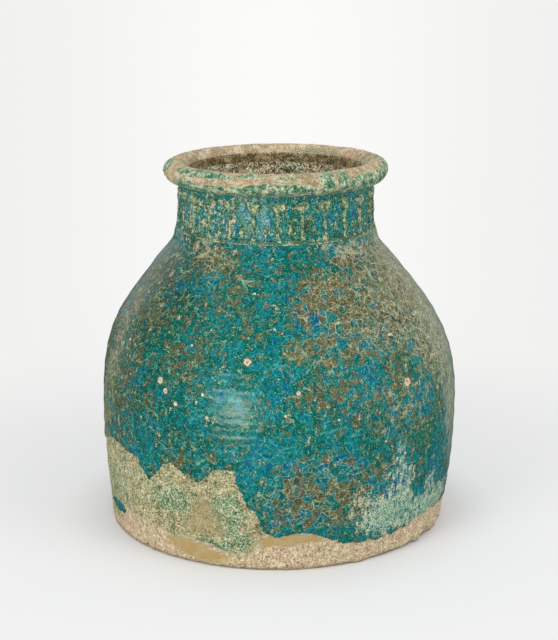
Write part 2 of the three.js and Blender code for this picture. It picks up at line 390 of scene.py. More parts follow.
# The ragged lower edge of the outer coat, as angle and height round the jar.
coat = {
    "edge": [
        (-180, 14), (-168, 18), (-155, 26), (-140, 20), (-128, 12), (-116, 18), (-108, 38), (-100, 42),
        (-96, 36), (-88, 50), (-82, 54), (-76, 57), (-66, 63.5), (-56, 60), (-50, 60), (-48, 54),
        (-44.7, 48), (-41, 53), (-37.6, 61), (-35.5, 63), (-32.6, 60), (-29, 57), (-26, 53), (-22.5, 58),
        (-20, 64), (-14, 64), (-12.8, 57), (-11.5, 49), (-9.9, 43), (-7, 37.5), (-5.9, 31), (-4.3, 25),
        (-0.6, 22), (5.5, 24.6), (10.6, 24.8), (13, 22), (16.5, 19), (22, 15), (34, 13.5), (45, 15.5),
        (51.5, 18), (60, 19.6), (70, 17), (90, 14), (105, 13), (118, 20), (128, 33), (140, 29), (147, 22),
        (158, 31), (170, 24), (180, 14),
    ],
    "islands": [(-67, 17, 7.5, 4, 1)],
    "ragged": [(1.1, 5, 31), (0.7, 2.1, 37)],
    "ripple": [(0.1, 4.5, 71)],
    "thickness": 1.3, "round": 1.2, "skin": 0.5, "dive": 0.9, "steps": 480, "foot": 4, "lowTop": 70,
    "row": 1.05, "rowsAbove": 34, "tear": -1.6,
}

# The bare clay below the coat: what the lost glaze left there.
bareClay = {
    "bareLine": [
        (-180, 8), (-150, 16), (-120, 6), (-100, 4), (-76, 5), (-64.5, 10), (-59, 20), (-54, 19.6),
        (-46, 19), (-40, 17), (-35, 15), (-30, 15.6), (-23, 14.6), (-17, 10), (-12, 8.6), (-8, 12),
        (-4, 26), (20, 22), (60, 22), (100, 15), (120, 10), (135, 14), (160, 12), (180, 8),
    ],
    "amber": [
        (-36.5, 12.8, 2.8, 2, 1), (-33, 11.4, 3.4, 4.8, 1), (-29.5, 10, 3.8, 6.4, 1),
        (-25.5, 8.6, 3.8, 6.2, 1), (-21, 6.8, 3.6, 4.4, 1), (-18, 5.4, 3, 3.2, 1), (-3.5, 19, 2.6, 3.6, 1),
        (-0.5, 21, 3, 5, 1), (3, 20, 3.4, 5, 1), (7, 21, 4, 4, 1), (11.5, 20.5, 3.4, 2.4, 1),
    ],
    "khaki": [(-23.5, 33, 5, 11, 1), (-27, 27, 4, 6, 1), (-19, 27, 3.5, 8, 0.8)],
    "green": [
        (-72, 30, 8, 20, 0.6), (-60, 40, 9, 18, 0.45), (-35, 40, 9, 9, 0.8), (-16, 36, 6, 14, 1),
        (-20, 13, 8, 4, 0.9), (-27, 15.5, 6, 1.6, 1), (-8, 10, 3.2, 1, 1), (-14, 20, 5, 9, 0.8),
        (140, 22, 20, 10, 0.7),
    ],
    "chips": [
        (-180, 1.2), (-120, 1.8), (-80, 1), (-40, 1.2), (-5, 1.2), (10, 1.4), (17, 2.2), (30, 3.6),
        (39, 4.2), (55, 5.4), (75, 5), (95, 2.6), (130, 1.2), (160, 2.4), (180, 1.2),
    ],
    "rough": [(0.2, 2.4, 53)],
    "footRough": [(0.6, 6, 59)],
    "bareWander": [(1.6, 8, 41), (0.8, 2.6, 43)],
    "amberWander": [(0.16, 4, 47)],
    "depth": 1.25, "granularRise": 0.5, "amberRise": 0.55,
}


def lineHeight(path, angle):
    at, high = np.array(path, float).T
    return np.interp(angle, at, high)


def belowCoat(angle, z, place):
    # how far a point lies inside the coat's edge, in millimetres; negative where the coat is lost
    pitch = 0.5
    arc = np.radians(pitch) * outline["footRadius"]
    slope = (lineHeight(coat["edge"], angle + pitch) - lineHeight(coat["edge"], angle - pitch)) / (2 * arc)
    inside = (z - lineHeight(coat["edge"], angle)) / np.sqrt(1 + slope ** 2)
    island = 4 * (dabs(angle, z, coat["islands"]) - 0.5)
    return np.maximum(inside, island) + grains(place, coat["ragged"])


def clayLayers(angle, z, place):
    above = z - lineHeight(bareClay["bareLine"], angle) + grains(place, bareClay["bareWander"])
    return {
        "granular": ease(above, -0.7, 0.7) * ease(z, 2, 4),
        "amber": ease(dabs(angle, z, bareClay["amber"]) + grains(place, bareClay["amberWander"]), 0.45, 0.62),
        "khaki": dabs(angle, z, bareClay["khaki"]),
        "green": dabs(angle, z, bareClay["green"]),
    }


def clayFace(angle, z, place):
    layers = clayLayers(angle, z, place)
    rise = bareClay["granularRise"] * layers["granular"] + bareClay["amberRise"] * layers["amber"]
    rough = grains(place, bareClay["rough"]) + grains(place, bareClay["footRough"]) * ease(z, 24, 5)
    return glazedRadius(z) - bareClay["depth"] + rise + rough + uneven(place, z), layers


# The floor of the jar, its foot ring and the wear round the foot.
slab = {
    "ringWidth": 17, "recess": 2.4, "recessSlope": 2.5, "arris": 1.6, "wear": 0.8, "leastChip": 0.2,
    "chipped": [(0.8, 9, 61), (0.5, 3, 67)], "row": 0.8, "recessRows": 7, "ringRows": 5, "steps": 480,
}


def floorSlabRule(angle, radius, z, place):
    arris, bend = glazedRadius(0) - bareClay["depth"], slab["arris"]
    chipped = np.maximum(1 + grains(place, slab["chipped"]), slab["leastChip"])
    chip = lineHeight(bareClay["chips"], angle) * chipped
    share = np.clip((radius - arris + bend) / bend, 0, 1)
    worn = arris - (1 - share) * (0.7 * chip + slab["wear"])
    edge, onSide = z < bend + 0.01, radius > arris - bend - 0.5
    lowered = np.where(edge, chip * (z / bend), chip + (z - bend) * (floorTop - chip) / (floorTop - bend))
    face = clayFace(angle, lowered, place)[0]
    side = np.where(edge, np.minimum(worn, face), face)
    return np.where(onSide, side, radius), np.where(onSide, lowered, z), clayLayers(angle, z, place)


def makeFloorSlab(material):
    ring, bend = outline["footRadius"] - slab["ringWidth"], slab["arris"]
    arris = float(glazedRadius(0)) - bareClay["depth"]
    quarter = [math.radians(a) for a in range(0, 91, 15)]
    rolled = [(arris - bend * (1 - math.sin(a)), bend * (1 - math.cos(a))) for a in quarter]
    side = [(arris, z) for z in np.arange(bend + slab["row"], floorTop - 0.3, slab["row"])]
    recessed = np.linspace(20, ring - slab["recessSlope"], slab["recessRows"])
    under = [(r, slab["recess"]) for r in (0, *recessed)]
    flat = [(r, 0) for r in np.linspace(ring, arris - bend - 1.5, slab["ringRows"])]
    top = [(r, floorTop) for r in (arris, hollowRadius(floorTop) - 20, 40, 0)]
    makePiece("floorSlab", under + flat + rolled + side + top, slab["steps"], floorSlabRule, material,
              "stonepaste", "base_slab", closed=False)


# The wall and the shoulder of clay, with close rows where the foot is rough.
clayWall = {"steps": 480, "rowLow": 1.05, "rowHigh": 4.0, "lowTop": 72, "rowsInside": 9}


def wallRule(angle, radius, z, place):
    face, layers = clayFace(angle, z, place)
    outside = radius > glazedRadius(z) - outline["wallDepth"] / 2
    return np.where(outside, face, radius), z, layers


def makeWall(name, bottom, top, material, node):
    rows = np.arange(bottom, min(top, clayWall["lowTop"]), clayWall["rowLow"])
    start = rows[-1] if len(rows) else bottom
    count = max(2, int((top - start) / clayWall["rowHigh"]))
    heights = np.concatenate([rows[:-1], np.linspace(start, top, count)])
    outside = [(float(glazedRadius(z)) - bareClay["depth"], z) for z in heights]
    inside = [(float(hollowRadius(z)), z) for z in np.linspace(top, bottom, clayWall["rowsInside"])]
    makePiece(name, outside + inside, clayWall["steps"], wallRule, material, "stonepaste", node)


# The coil pressed into the corner inside, and the plain collar behind the moulding.
coil = {"size": 13.0, "gap": 0.3, "rows": 9, "steps": 184}
collar = {"rows": 8, "steps": 184}


def makeCornerCoil(material):
    size = coil["size"]
    seat = float(hollowRadius(floorTop)) - coil["gap"]
    arc = [(seat - size + size * math.sin(a), floorTop + size - size * math.cos(a))
           for a in np.linspace(math.pi / 2, 0, coil["rows"])]
    makePiece("cornerCoil", [(seat, floorTop)] + arc, coil["steps"], asTurned, material,
              "stonepaste", "corner_coil")


def makeNeckCollar(material):
    bore, outside = outline["neckBore"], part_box("neck_collar")[1].x / mm - outline["neckLean"]
    rows = np.linspace(neckFoot, lipSeat, collar["rows"])
    line = [(outside, z) for z in rows] + [(bore, z) for z in rows[::-1]]
    makePiece("neckCollar", line, collar["steps"], asTurned, material, "stonepaste", "neck_collar")


# The outer coat of glaze, with what is painted on it by wear and weather, and painted shade, light and sheen.
weatherAndPaintedLight = {
    "olive": [
        (24, 158, 16, 18, 1.2), (12, 156, 8, 7, 0.9), (55, 172, 24, 19, 1.2), (46, 152, 22, 20, 1.1),
        (40, 136, 16, 12, 0.7), (70, 158, 22, 24, 1.1), (64, 138, 16, 14, 0.8), (34, 178, 12, 8, 0.8),
        (14, 133, 12, 9, 0.75), (18, 112, 14, 10, 0.5), (34, 104, 9, 12, 0.55), (44, 98, 14, 22, 0.5),
        (22, 92, 9, 8, 0.4), (12, 68, 13, 8, 0.6), (12, 46, 15, 14, 0.8), (24, 40, 9, 12, 0.7),
        (3, 36, 7, 10, 0.6), (-48, 166, 22, 18, 0.32), (-36, 181, 16, 8, 0.8), (-22, 170, 10, 10, 0.35),
        (-66, 160, 18, 22, 0.55), (-72, 110, 12, 30, 0.7), (-52, 148, 8, 10, 0.6), (-30, 128, 7, 16, 0.45),
        (-60, 108, 12, 40, 0.5), (-44, 92, 6, 16, 0.3), (-33, 74, 8, 10, 0.4), (-56, 70, 8, 14, 0.4),
        (70, 120, 16, 40, 0.6), (-76, 120, 14, 50, 0.6), (110, 150, 20, 22, 0.7), (150, 90, 22, 30, 0.6),
        (-120, 120, 22, 26, 0.7), (-160, 150, 18, 16, 0.8), (170, 60, 16, 18, 0.6), (-140, 62, 18, 14, 0.5),
    ],
    "largeCells": [
        (16, 50, 22, 24, 1), (22, 158, 16, 18, 1), (42, 172, 22, 18, 0.9), (44, 148, 14, 16, 0.5),
        (15, 135, 14, 10, 0.6), (-120, 110, 26, 30, 0.8), (150, 70, 30, 30, 0.9),
    ],
    "mottle": [
        (-44, 187, 26, 8, 0.75), (-10, 189, 22, 4, 0.5), (24, 188, 16, 5, 0.7), (46, 186, 16, 7, 0.9),
        (-24, 178, 14, 8, 0.4), (44, 100, 14, 24, 0.62), (68, 108, 12, 36, 0.5), (18, 104, 10, 12, 0.4),
        (100, 188, 40, 8, 0.8), (180, 188, 40, 8, 0.9), (-110, 188, 34, 8, 0.8),
    ],
    "abraded": [
        (37, 30, 12, 14, 1.1), (50, 25, 14, 10, 1.1), (41, 48, 7, 16, 0.75), (40, 66, 3.5, 10, 0.6),
        (26, 38, 4, 14, 0.7), (64, 27, 12, 9, 0.9), (57, 40, 4, 10, 0.7), (130, 44, 20, 12, 0.8),
        (-150, 34, 20, 10, 0.8),
    ],
    # brighter, clearer glaze with less brown, and partly painted light that lifts the colour where the front
    # is lit
    "bright": [
        (-12, 104, 14, 30, 1), (-30, 90, 18, 24, 0.8), (0, 84, 20, 20, 0.9), (-10, 60, 10, 14, 0.8),
        (-46, 78, 12, 20, 0.7), (-6, 128, 20, 10, 0.8), (64, 58, 9, 28, 0.8), (48, 86, 14, 22, 0.7),
        (24, 76, 12, 14, 0.5), (-160, 90, 30, 40, 0.8), (100, 80, 20, 40, 0.7),
    ],
    "blue": [
        (-23, 189, 7, 3.5, 1), (-34, 189, 6, 3, 0.9), (-50, 62, 4, 10, 0.4), (-38, 76, 5, 12, 0.4),
        (60, 50, 9, 22, 1), (8, 120, 10, 8, 0.8), (12, 42, 6, 8, 0.6), (32, 100, 14, 16, 0.5),
        (20, 66, 10, 8, 0.35), (0, 190, 10, 3, 0.8), (-10, 40, 4, 9, 0.8), (36, 24, 4, 6, 0.8),
        (-90, 70, 14, 20, 0.6), (150, 120, 24, 20, 0.6),
    ],
    "ashen": [
        (64, 158, 22, 26, 1), (66, 132, 18, 34, 0.9), (46, 170, 14, 14, 0.4), (40, 144, 14, 14, 0.4),
        (80, 176, 22, 14, 1), (-72, 160, 9, 22, 0.3), (-70, 120, 8, 46, 0.8), (-76, 70, 9, 40, 0.9),
        (-60, 178, 20, 10, 0.3), (74, 86, 8, 30, 0.7), (110, 160, 26, 26, 0.8), (-130, 150, 30, 24, 0.8),
        (170, 150, 24, 20, 0.6),
    ],
    "crusted": [
        (-44, 206, 24, 22, 1), (-12, 196, 14, 8, 0.4), (-30, 190, 14, 8, 0.6), (60, 194, 20, 8, 0.5),
        (110, 205, 20, 20, 0.8), (-150, 205, 24, 20, 0.8),
    ],
    # painted shade: darker and greener patches on the left shoulder and left side
    "dark": [(-58, 160, 26, 34, 1), (-46, 110, 22, 44, 0.5), (-80, 150, 20, 40, 0.7)],
    # a film of haze at the sides, partly a painted grazing sheen along the silhouettes
    "haze": [
        (-86, 120, 16, 90, 0.5), (82, 110, 20, 90, 1.3), (-84, 178, 20, 22, 0.1), (78, 172, 22, 22, 0.95),
    ],
}

# Pits where a bubble burst in the glaze, as angle, height and radius: some are rusty at the bottom.
pits = {
    "rusty": [
        (-39.6, 113.6, 2.3), (-37, 108, 1.9), (-9.7, 130.1, 2.5), (44.2, 111, 2.9), (6, 113, 1.4),
        (120, 110, 2), (-130, 100, 2.2), (175, 80, 2),
    ],
    "white": [
        (-32.8, 101.6, 1.6), (-23.6, 109.6, 1.2), (-22, 96.3, 1.3), (-34.5, 98.5, 0.8), (-30, 136, 0.9),
        (2, 100, 1.1), (34, 78, 1), (18, 96, 0.9), (-47, 88, 0.9), (-60, 130, 1.1), (150, 96, 1.6),
        (-150, 132, 1.3), (-100, 84, 1.4),
    ],
}


def bodyGlazeRule(angle, radius, z, place):
    within = belowCoat(angle, z, place)
    rounded = 1 - np.clip(within / coat["round"], 0, 1)
    cover = 1 - np.sqrt(np.clip(1 - rounded ** 2, 0, 1))
    depth = (coat["thickness"] + 0.3) * cover + coat["dive"] * np.clip(-within, 0, 1)
    topEnd = ease(z, neckFoot - 1.6, neckFoot + 0.8) * (coat["thickness"] + 0.6)
    layers = {name: dabs(angle, z, strokes) for name, strokes in weatherAndPaintedLight.items()}
    layers["within"] = within
    face = glazedRadius(z) - depth - topEnd + grains(place, coat["ripple"])
    return face + uneven(place, z), z, layers


def makeBodyGlaze(material):
    low = np.arange(coat["foot"], coat["lowTop"], coat["row"])
    middle = np.linspace(low[-1] + 2, neckFoot - 2.4, coat["rowsAbove"])
    top = neckFoot + np.linspace(-1.8, 0.8, 5)
    line = [(float(glazedRadius(z)), z) for z in np.concatenate([low, middle, top])]
    makePiece("bodyGlaze", line, coat["steps"], bodyGlazeRule, material, "body_glaze", "body_glaze",
              closed=False, tear=("within", coat["tear"]), skin=coat["skin"])


# The moulded band: colonnettes with spreading heads, and a bud in each bay.
arcade = {
    "bays": 26, "first": 1.4, "recess": 2.4, "sill": 2.2, "crown": 3.2,
    "stem": 1.35, "stemFoot": 2.3, "headHalf": 5.0, "headRise": 7.2, "headSpread": 4.2, "headRound": 2.6,
    "bud": 2.1, "budFoot": 3.2, "budTop": 13.5, "budRise": 0.72, "sillRise": 0.7, "edge": 1.0, "wear": 0.3,
    "pool": 1.4, "film": 0.14, "steps": 832, "row": 0.55,
    "bend": [(0.5, 6, 73), (0.35, 2.5, 79)], "sag": [(0.6, 5, 83)], "wornWhere": [(1, 8, 89)],
    "rough": [(0.16, 1.8, 97)], "rubbed": [(1, 5, 101), (0.7, 1.9, 103)], "poolWave": [(0.3, 7, 105)],
    "ripple": [(0.1, 2.2, 107)],
}


def moulding(angle, z, place):
    # how far the relief stands above its ground, from 0 to 1
    a = arcade
    pitch, perDegree = 360 / a["bays"], math.radians(1) * outline["neckRadius"]
    bent = angle + grains(place, a["bend"])
    bay = np.round((bent - a["first"]) / pitch)
    aside = np.abs(bent - a["first"] - bay * pitch) * perDegree
    up = z - neckFoot + grains(place, a["sag"])
    top = lipSeat - neckFoot - a["crown"]
    spring = top - a["headRise"]
    half = np.interp(up, [0, a["sill"], a["sill"] + 2.4, spring],
                     [a["stemFoot"] * 1.6, a["stemFoot"], a["stem"], a["stem"]])
    half = half + (a["headHalf"] - a["stem"]) * ease(up, spring - 0.6, spring + a["headSpread"])
    over = np.clip((up - top + a["headRound"]) / a["headRound"], 0, 1)
    half = half * np.sqrt(np.clip(1 - over ** 2, 0, 1))
    column = ease(half - aside, -a["edge"] / 2, a["edge"]) * ease(top + 0.3 - up, 0, 0.8)
    middle = a["budFoot"] + (a["budTop"] - a["budFoot"]) * 0.4
    budHalf = np.interp(up, [a["budFoot"], a["budFoot"] + 1.4, middle, a["budTop"]],
                        [0, a["bud"] * 0.8, a["bud"], 0])
    bud = a["budRise"] * ease(budHalf - pitch / 2 * perDegree + aside, -0.2, 0.9) * (budHalf > 0)
    sill = ease(a["sill"] + 0.6 - up, -0.3, 0.8) * a["sillRise"]
    worn = 1 - a["wear"] * ease(grains(place, a["wornWhere"]), -0.1, 0.5)
    return np.maximum(np.maximum(column, bud), sill) * worn


def neckRound(z):
    return np.minimum(glazedRadius(z), outline["neckRadius"] + 1.1)


def neckLine(start, end, face, back):
    rows = np.arange(neckFoot + start, lipSeat + end, arcade["row"])
    return [(face, z) for z in rows] + [(back, rows[-1]), (back, rows[0])]


def arcadeRule(angle, radius, z, place):
    a, raised = arcade, moulding(angle, z, place)
    face = neckRound(z) - a["recess"] + (a["recess"] - 0.1) * raised + grains(place, a["rough"])
    return np.where(radius > outline["neckRadius"] - 5, face, radius), z, {"raised": raised}


def makeArcadeBand(material):
    line = neckLine(-0.6, 0.4, outline["neckRadius"], outline["neckRadius"] - 6)
    makePiece("arcadeBand", line, arcade["steps"], arcadeRule, material, "moulded_stonepaste", "arcade_band")


def neckGlazeRule(angle, radius, z, place):
    a, raised = arcade, moulding(angle, z, place)
    high = ease(z, neckFoot + 2, neckFoot + 7)
    rubbed = ease(grains(place, a["rubbed"]) + 0.75 * raised * high - 0.25 * (1 - high), 0.4, 0.8)
    over = (a["recess"] - 0.1) * raised - a["recess"] + a["film"] - 0.5 * rubbed * (raised > 0.3)
    pool = grains(place, a["poolWave"]) - a["pool"]
    face = neckRound(z) + np.maximum(over, pool) + grains(place, a["ripple"])
    ends = 1.3 * ease(z, neckFoot + 1.4, neckFoot - 0.4)
    layers = {name: dabs(angle, z, weatherAndPaintedLight[name]) for name in ("haze", "blue", "crusted")}
    layers.update(raised=raised, rubbed=rubbed)
    return np.where(radius > outline["neckRadius"] - 2.4, face - ends, radius), z, layers


def makeNeckGlaze(material):
    line = neckLine(0.1, 0.3, outline["neckRadius"] - 1, outline["neckRadius"] - 3.2)
    makePiece("neckGlaze", line, arcade["steps"], neckGlazeRule, material, "neck_glaze", "neck_glaze")


# The rolled lip, worn bare on top, with glaze left under its roll.
lip = {
    "glaze": [
        (0, 222.4, 150, 2.2, 1), (180, 222.4, 100, 2.2, 1), (0, 225.6, 22, 4.6, 1.25),
        (-34, 225.4, 16, 3.2, 0.8), (-54, 226.5, 10, 3.6, 0.8), (-84, 232, 13, 3.4, 1),
        (-90, 225, 9, 2, 0.8), (26, 228.5, 5, 7, 1), (36, 228.5, 4.6, 7, 1), (50, 227.5, 13, 5.2, 1),
        (68, 228, 14, 5.6, 0.9), (86, 231, 12, 5, 0.9), (-42, 233.2, 22, 1.9, 1),
        (-14, 233.8, 10, 1.2, 0.8), (4, 232.6, 9, 1.4, 0.6), (-20, 228, 6, 1.6, 0.6),
        (12, 228, 8, 1.4, 0.6), (120, 225, 20, 4, 1), (160, 226, 22, 4, 0.9), (-120, 225, 20, 4, 1),
        (-160, 225, 20, 4, 0.9), (150, 231, 20, 3, 0.8),
    ],
    "ground": [(0.35, 16, 107), (0.16, 4, 109), (0.07, 1.6, 113)],
    "ragged": [(0.34, 6, 127), (0.3, 2.2, 131)],
    "overhang": 8.0, "widestDrop": 6.5, "underside": 6.7, "innerDrop": 8.4, "tilt": 0.5, "steps": 424,
    "glazeRise": 0.45, "glazeDip": 0.35, "rows": 12, "rowsInside": 14, "glazeSkin": 0.25,
}
ridge = outline["neckRadius"] + 0.3
widest = height - lip["widestDrop"]


def lipArc(wide, tall, centre, start, end, count):
    turns = np.radians(np.linspace(start, end, count))
    return [(ridge + wide * math.cos(t), centre + tall * math.sin(t)) for t in turns]


def lipSection():
    over, bore, drop = lip["overhang"], outline["neckBore"], lip["innerDrop"]
    lower = lipArc(over, lip["underside"], widest, -90, 0, lip["rows"])
    upper = lipArc(over, lip["widestDrop"], widest, 0, 90, lip["rows"])
    inner = lipArc(ridge - bore, drop, height - drop, 90, 180, lip["rowsInside"])
    return lower, upper[1:], inner[1:]


def lipGround(place, z):
    return grains(place, lip["ground"]) * ease(z, lipSeat, lipSeat + 3)


def lipMoved(angle, radius, z, rise):
    # moves the lip's face outwards along the way it looks, and tilts it
    out, up = (radius - ridge) / lip["overhang"], (z - widest) / lip["underside"]
    length = np.maximum(np.hypot(out, up), 0.001)
    z = z + up / length * rise
    tilt = math.tan(math.radians(lip["tilt"])) * radius * np.sin(np.radians(angle))
    return radius + out / length * rise, z + tilt * ease(z, lipSeat, height)


def lipRule(angle, radius, z, place):
    layers = {"green": dabs(angle, z, lip["glaze"]), "inside": ease(radius, ridge - 6.6, ridge - 7.7)}
    return *lipMoved(angle, radius, z, lipGround(place, z)), layers


def makeRolledLip(material):
    lower, upper, inner = lipSection()
    line = [(outline["neckBore"], lipSeat), (ridge, lipSeat)] + lower + upper + inner
    makePiece("rolledLip", line, lip["steps"], lipRule, material, "lip_stonepaste", "rolled_lip")


def lipGlazeRule(angle, radius, z, place):
    cover = ease(dabs(angle, z, lip["glaze"]) - 0.5 + grains(place, lip["ragged"]), -0.06, 0.12)
    rise = lipGround(place, z) - lip["glazeDip"] + (lip["glazeRise"] + lip["glazeDip"]) * cover
    return *lipMoved(angle, radius, z, rise), {"cover": cover}


def makeLipGlaze(material):
    lower, upper = lipSection()[:2]
    makePiece("lipGlaze", lower[1:] + upper, lip["steps"], lipGlazeRule, material, "lip_stonepaste",
              closed=False, tear=("cover", 0.02), skin=lip["glazeSkin"])


# The thin coat inside.
lining = {
    "gap": 0.3, "thickness": 0.8, "top": 224.0, "ripple": [(0.22, 6, 137)], "rippleFoot": 40,
    "rows": 64, "steps": 240,
}


def liningFace(depth):
    size = coil["size"]
    seat = float(hollowRadius(floorTop + size)) - coil["gap"]
    floor = [(r, floorTop + depth) for r in (0, 30.0, 60.0, seat - size - 1)]
    arc = [(seat - size + (size - depth) * math.cos(a), floorTop + size + (size - depth) * math.sin(a))
           for a in np.radians(np.linspace(-90, 0, coil["rows"]))]
    heights = np.linspace(floorTop + size + 4, lining["top"], lining["rows"])
    return floor + arc + [(float(hollowRadius(z)) - depth, z) for z in heights]


def liningRule(angle, radius, z, place):
    shown = radius < hollowRadius(z) - lining["gap"] - lining["thickness"] / 2
    rippled = radius + grains(place, lining["ripple"])
    return np.where(shown & (z > lining["rippleFoot"]), rippled, radius), z, {}


def makeInnerGlaze(material):
    line = liningFace(lining["gap"]) + liningFace(lining["gap"] + lining["thickness"])[::-1]
    makePiece("innerGlaze", line, lining["steps"], liningRule, material, "inner_glaze", "inner_glaze",
              closed=False)


# Colours by name, as 0 to 255.
tints = {
    "blue": (0, 88, 110), "cyan": (0, 112, 110), "teal": (0, 96, 90), "deep": (0, 74, 68), "sea": (0, 92, 72),
    "green": (20, 82, 54), "moss": (56, 64, 38), "olive": (82, 80, 46), "brown": (96, 80, 48),
    "drab": (96, 94, 58), "fleck": (70, 184, 166), "film": (124, 142, 124), "crack": (192, 190, 154),
    "cream": (206, 194, 152), "rust": (172, 96, 56), "pink": (196, 156, 128), "taupe": (122, 116, 98),
    "paste": (176, 160, 128), "pastePale": (204, 190, 158), "pastePink": (184, 160, 132),
    "pore": (96, 82, 58), "khaki": (172, 154, 110), "amber": (172, 144, 92), "soil": (104, 80, 56),
    "ashGreen": (72, 104, 80), "hairline": (96, 182, 162), "spark": (104, 208, 190), "dot": (150, 206, 184),
    "pitRim": (222, 214, 188), "orangePaste": (200, 162, 122), "sillGreen": (30, 92, 74),
    "groove": (0, 48, 50), "neckFleck": (150, 204, 184), "neckCrack": (128, 178, 156),
    "lipPaste": (182, 156, 126), "lipDrab": (160, 144, 112), "lipPale": (216, 200, 168),
    "lipPore": (96, 82, 56), "lipStain": (74, 102, 68), "lipStainPale": (160, 166, 130),
    "lipPatch": (206, 196, 172), "lipCrack": (128, 170, 148),
}

# Runs of colour along a noise, dark to pale.
ramps = {
    "glaze": [(0.24, "blue"), (0.36, "cyan"), (0.47, "teal"), (0.58, "deep"), (0.68, "sea"), (0.82, "green")],
    "brown": [(0.4, "moss"), (0.47, "olive"), (0.53, "brown"), (0.6, "drab")],
    "ash": [(0.38, (66, 66, 38)), (0.46, (88, 84, 52)), (0.54, (104, 104, 76)), (0.62, (124, 130, 104))],
    "mottle": [(0.38, "deep"), (0.44, "moss"), (0.49, "film"), (0.55, "cream"), (0.63, "pink")],
    "dust": [(0.41, (0, 94, 82)), (0.46, (40, 132, 106)), (0.495, (120, 166, 134)), (0.535, (196, 204, 170)),
             (0.59, (240, 232, 208))],
    "crumbs": [(0.38, (76, 84, 56)), (0.44, (112, 118, 82)), (0.48, (142, 144, 108)), (0.52, (170, 170, 130)),
               (0.57, (192, 186, 146)), (0.66, (228, 220, 186))],
    "coldCrumbs": [(0.38, (10, 78, 54)), (0.44, (44, 114, 84)), (0.49, (100, 140, 106)),
                   (0.54, (156, 172, 138)), (0.6, (206, 196, 164)), (0.66, (220, 216, 188))],
    "relief": [(0.4, (6, 76, 64)), (0.46, (34, 98, 76)), (0.5, (92, 126, 92)), (0.54, (160, 164, 122)),
               (0.58, (200, 176, 138)), (0.64, (226, 216, 184))],
    "neck": [(0.24, "blue"), (0.38, (0, 112, 124)), (0.48, (0, 112, 108)), (0.6, (0, 96, 78)),
             (0.74, "green"), (0.86, "moss")],
    "neckCrust": [(0.38, (14, 70, 48)), (0.44, (40, 104, 72)), (0.49, (104, 136, 92)),
                  (0.53, (160, 164, 116)), (0.57, "cream"), (0.66, "pink")],
    "neckWorn": [(0.43, (36, 92, 66)), (0.49, (134, 146, 106)), (0.55, (210, 198, 162))],
    "lipInside": [(0.4, (46, 38, 22)), (0.46, (92, 80, 52)), (0.51, (128, 112, 80)), (0.57, (176, 158, 124))],
    "lipGlaze": [(0.36, "deep"), (0.42, (8, 84, 60)), (0.465, (44, 104, 74)), (0.51, (108, 136, 102)),
                 (0.55, (174, 178, 146)), (0.61, (216, 200, 172))],
    "inside": [(0.42, (40, 32, 16)), (0.46, (86, 78, 48)), (0.5, (144, 132, 98)), (0.54, (206, 192, 158)),
               (0.58, (240, 230, 204))],
    "insideGreen": [(0.42, (26, 56, 34)), (0.47, (76, 108, 74)), (0.51, (144, 162, 126)),
                    (0.57, (212, 214, 186))],
}


def crazing(g, size, width, jitter):
    # crackle in the glaze: a random number for each cell, a second one, and the cracks between them
    scatter = g.noise(size * 2.4).output("Color")
    shift = g.node("VectorMath", {"operation": "MULTIPLY_ADD"}, {0: scatter, 1: (jitter,) * 3, 2: g.place})
    first, second = g.parts(g.cells(size, shift).output("Color"))[:2]
    apart = g.cells(size, shift, "DISTANCE_TO_EDGE")
    crack = 1 - (apart * size).fade(width * 0.35, width)
    return first, second, crack


def longCrack(g, across, up, turn, width):
    return 1 - g.cells(1.0, g.stretched(across, up, turn), "DISTANCE_TO_EDGE").fade(0.004, width)


def nearestPit(g, spots):
    # how far the nearest pit is, as a share of its radius
    nearest = None
    for angle, high, radius in spots:
        turn, out = math.radians(angle), float(glazedRadius(high))
        middle = (out * math.sin(turn) + float(lean(high)), -out * math.cos(turn), high)
        away = g.away(middle) / radius
        nearest = away if nearest is None else nearest.least(away)
    return nearest


def scattered(g, size, grit, near, far, rarity):
    # round dots of glaze, each in a cell of its own, and a random number for each
    dots = g.cells(size, g.place)
    pick, hue = g.parts(dots.output("Color"))[:2]
    return (1 - (dots * size + grit).fade(near, far)) * (pick > rarity), hue


# Each finish: its noises as size, detail and roughness, its crackle as cell size, width and scatter, its
# long cracks as size across, size along, turn and width, then how rough, how bumpy and how shiny it is.
bodyLook = {
    "noises": [(26,), (6.5,), (3.2, 2.0, 0.55), (1.3, 2.0, 0.6), (0.8, 3.0, 0.75)],
    "cells": (5.2, 0.2, 2.6), "net": (4.4, 0.23, 3.2), "hairline": (7.5, 0.15, 2.0),
    "shortLine": (4.0, 0.12, 2.4), "rising": (7.0, 40.0, 0.8, 0.018), "falling": (6.0, 30.0, -1.0, 0.02),
    "dab": (3.8, 5.4), "otherDab": (2.8, 5.0, 0.5), "scratch": (0.7, 1.8, 0.0, 3.0, 0.75),
    "streaks": (1.8, 6.0, 0.0, 2.0, 0.55), "sparkSize": 2.6, "dotSize": 5.6,
    "roughness": 0.2, "bumpDepth": 0.34, "shine": 0.32,
}


